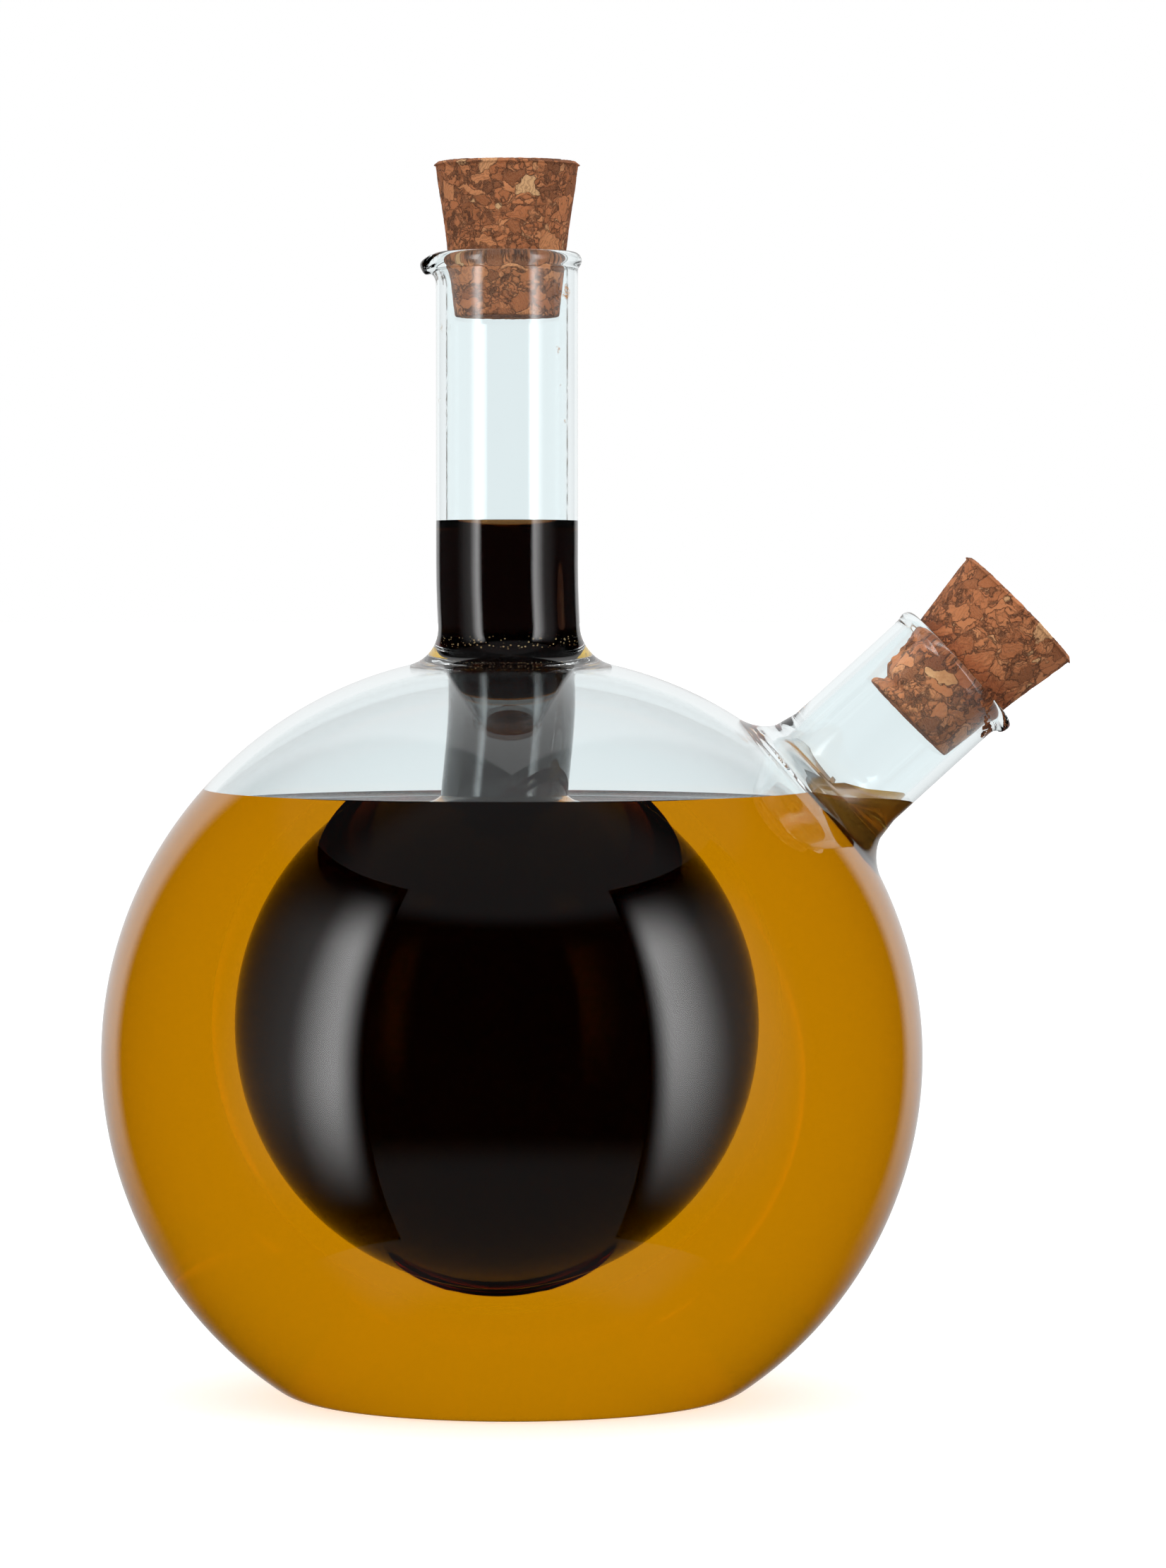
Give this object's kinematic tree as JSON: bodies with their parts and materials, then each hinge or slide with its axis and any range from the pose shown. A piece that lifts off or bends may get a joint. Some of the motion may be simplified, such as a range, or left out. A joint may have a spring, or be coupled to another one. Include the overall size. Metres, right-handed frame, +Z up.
{
  "type": "oil and vinegar cruet",
  "caption": "Double cruet of clear blown glass: an oil globe with a slanted side spout, a vinegar bulb fused inside under a tall neck, and tapered corks.",
  "frame": {"origin": "middle of the flat foot, on the axis of the neck", "axes": "+Z up along the neck, +X towards the side spout, XZ is the mirror plane"},
  "size_m": [0.1358, 0.1154, 0.1755],
  "materials": {
    "glass": "clear polished",
    "oil": "golden olive oil",
    "vinegar": "near-black dark vinegar",
    "cork": "agglomerated cork, matte"
  },
  "bodies": {
    "vessel": {"glass_vessel": "glass", "oil_fill": "oil", "vinegar_fill": "vinegar"},
    "top_stopper": {"top_cork": "cork"},
    "side_stopper": {"side_cork": "cork"}
  },
  "joints": [
    {"name": "top_cork_pull", "type": "slide", "parent": "vessel", "child": "top_stopper", "axis": [0, 0, 1], "range_m": [0, 0.025]},
    {"name": "side_cork_pull", "type": "slide", "parent": "vessel", "child": "side_stopper", "axis": [0.7132, 0, 0.7009], "range_m": [0, 0.025]}
  ]
}
